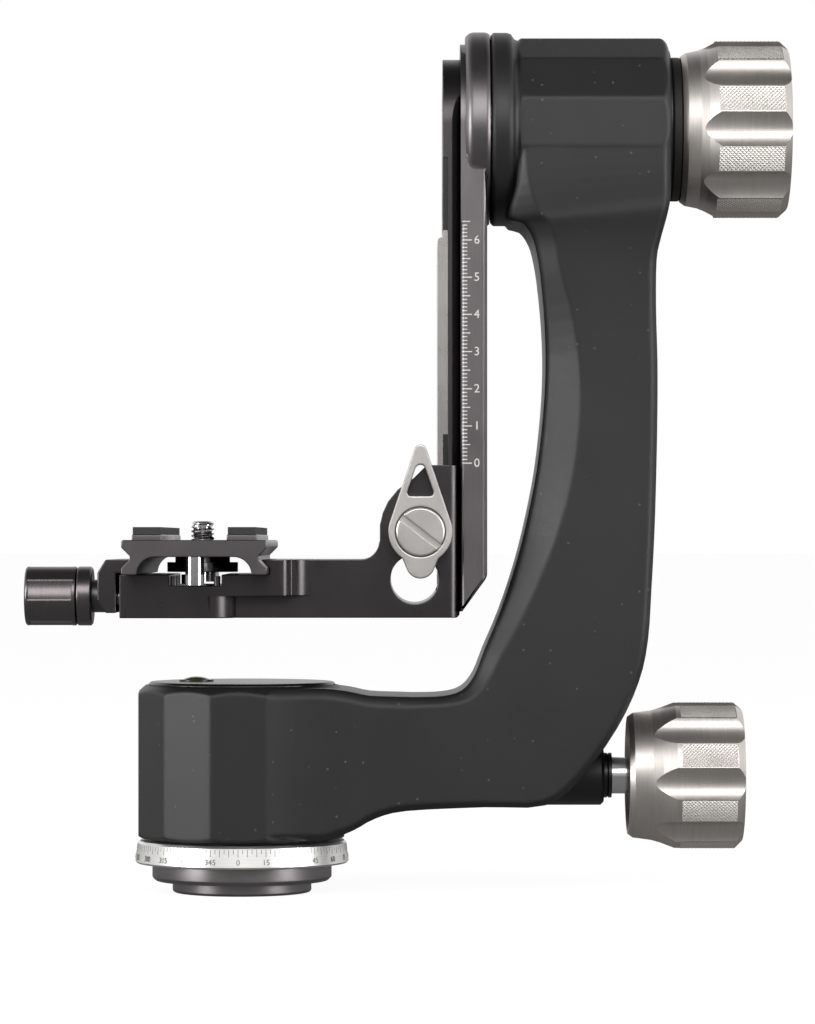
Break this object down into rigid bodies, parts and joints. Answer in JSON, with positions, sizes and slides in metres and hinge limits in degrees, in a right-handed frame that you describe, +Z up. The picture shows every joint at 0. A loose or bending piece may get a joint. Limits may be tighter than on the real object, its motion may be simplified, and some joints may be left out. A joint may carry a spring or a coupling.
{
  "type": "gimbal tripod head",
  "caption": "L-shaped swing arm that pans on a round base and tilts a camera cradle, with two big grip knobs, a height lever and a quick-release clamp.",
  "frame": {"origin": "middle of the base's contact face, on the pan axis", "axes": "+Z up along the pan axis, +X along the tilt axis from the cradle to the tilt knob, +Y to the back"},
  "size_m": [0.2083, 0.1, 0.2353],
  "materials": {
    "satin_black_alloy": "satin black coat, fine-textured",
    "gloss_black": "glossy black",
    "matte_black": "matte black",
    "grey_alloy": "dark grey anodised, bead blasted",
    "rail_alloy": "dark grey anodised, brushed",
    "knob_alloy": "bright machined, knurled grip",
    "gunmetal": "gunmetal anodised",
    "lever_alloy": "bead blasted, clear anodised",
    "ring_alloy": "satin, engraved",
    "bright_steel": "polished",
    "wear_steel": "ground",
    "machined_steel": "machined",
    "screw_steel": "dark",
    "brass": "turned",
    "shoe_plastic": "moulded",
    "liner_plastic": "moulded",
    "rubber": "moulded",
    "vial_glass": "clear, tinted"
  },
  "bodies": {
    "base": {"base_plate": "gunmetal", "tripod_bush": "machined_steel", "bush_screw": "screw_steel", "degree_ring": "ring_alloy", "pan_spindle": "machined_steel", "spindle_screws": "screw_steel", "pan_inner_races": "machined_steel", "pan_balls": "bright_steel", "brake_drum": "brass", "spindle_washer": "machined_steel", "spindle_nut": "machined_steel"},
    "arm": {"arm": "satin_black_alloy", "pan_sleeve": "machined_steel", "pan_outer_races": "machined_steel", "dust_seal": "rubber", "top_cap": "gloss_black", "level_cup": "machined_steel", "level_vial": "vial_glass", "lock_boss": "matte_black", "boss_ring": "matte_black", "tilt_sleeve": "machined_steel", "tilt_outer_races": "machined_steel", "friction_ring": "liner_plastic"},
    "brake": {"brake_rod": "machined_steel", "brake_shoe": "shoe_plastic"},
    "pan_knob": {"pan_knob": "knob_alloy", "pan_stud": "bright_steel", "pan_knob_screw": "screw_steel"},
    "tilt": {"tilt_plate": "grey_alloy", "tilt_shaft": "machined_steel", "hub_screws": "screw_steel", "dovetail_rail": "rail_alloy", "rail_screws": "screw_steel", "rail_liner": "liner_plastic", "wear_bar": "wear_steel", "tilt_inner_races": "machined_steel", "tilt_balls": "bright_steel", "tilt_spacer": "machined_steel", "tilt_nut": "machined_steel", "tilt_knob_screw": "screw_steel"},
    "disc": {"pressure_disc": "gloss_black"},
    "tilt_knob": {"tilt_knob": "knob_alloy", "tilt_insert": "brass"},
    "cradle": {"cradle": "grey_alloy", "jaw_pins": "wear_steel", "seat_pins": "bright_steel"},
    "gib": {"height_gib": "machined_steel"},
    "lever": {"height_lever": "lever_alloy", "lever_cap": "lever_alloy", "lever_stud": "machined_steel"},
    "jaw": {"clamp_jaw": "grey_alloy"},
    "clamp_knob": {"clamp_knob": "gunmetal", "clamp_collar": "gunmetal", "clamp_screw": "screw_steel"},
    "plate": {"camera_plate": "grey_alloy", "plate_pads": "rubber", "plate_stops": "bright_steel"},
    "screw": {"camera_screw": "screw_steel"}
  },
  "joints": [
    {"name": "pan_turn", "type": "hinge", "parent": "base", "child": "arm", "pos_m": [0, 0, 0], "axis": [0, 0, 1], "continuous": true},
    {"name": "brake_slide", "type": "slide", "parent": "arm", "child": "brake", "axis": [1, 0, 0], "range_m": [0, 0.00187]},
    {"name": "pan_knob_turn", "type": "hinge", "parent": "brake", "child": "pan_knob", "pos_m": [0.12, 0, 0.0319], "axis": [1, 0, 0], "range_deg": [0, 540.5]},
    {"name": "tilt_turn", "type": "hinge", "parent": "arm", "child": "tilt", "pos_m": [0.068, 0, 0.2088], "axis": [1, 0, 0], "continuous": true},
    {"name": "disc_slide", "type": "slide", "parent": "tilt", "child": "disc", "axis": [1, 0, 0], "range_m": [0, 0.0015]},
    {"name": "tilt_knob_turn", "type": "hinge", "parent": "disc", "child": "tilt_knob", "pos_m": [0.12, 0, 0.2088], "axis": [1, 0, 0], "range_deg": [0, 360.5]},
    {"name": "height_slide", "type": "slide", "parent": "tilt", "child": "cradle", "axis": [0, 0, 1], "range_m": [0, 0.065]},
    {"name": "lever_turn", "type": "hinge", "parent": "cradle", "child": "lever", "pos_m": [0.0488, -0.0262, 0.0985], "axis": [0, -1, 0], "range_deg": [0, 95.5]},
    {"name": "gib_slide", "type": "slide", "parent": "cradle", "child": "gib", "axis": [0, 1, 0], "range_m": [0, 0.0004]},
    {"name": "jaw_slide", "type": "slide", "parent": "cradle", "child": "jaw", "axis": [-1, 0, 0], "range_m": [0, 0.0035]},
    {"name": "clamp_knob_turn", "type": "hinge", "parent": "jaw", "child": "clamp_knob", "pos_m": [-0.05, 0, 0.081], "axis": [-1, 0, 0], "range_deg": [0, 1576]},
    {"name": "plate_slide", "type": "slide", "parent": "cradle", "child": "plate", "axis": [0, 1, 0], "range_m": [-0.03, 0.03]},
    {"name": "screw_turn", "type": "hinge", "parent": "plate", "child": "screw", "pos_m": [-0.0108, 0, 0.0925], "axis": [0, 0, 1], "continuous": true}
  ],
  "couplings": [
    {"joint": "pan_knob_turn", "follows": "brake_slide", "rad_per_m": 5026.5},
    {"joint": "tilt_knob_turn", "follows": "disc_slide", "rad_per_m": 4188.8},
    {"joint": "lever_turn", "follows": "gib_slide", "rad_per_m": 4145.1},
    {"joint": "clamp_knob_turn", "follows": "jaw_slide", "rad_per_m": 7854}
  ]
}
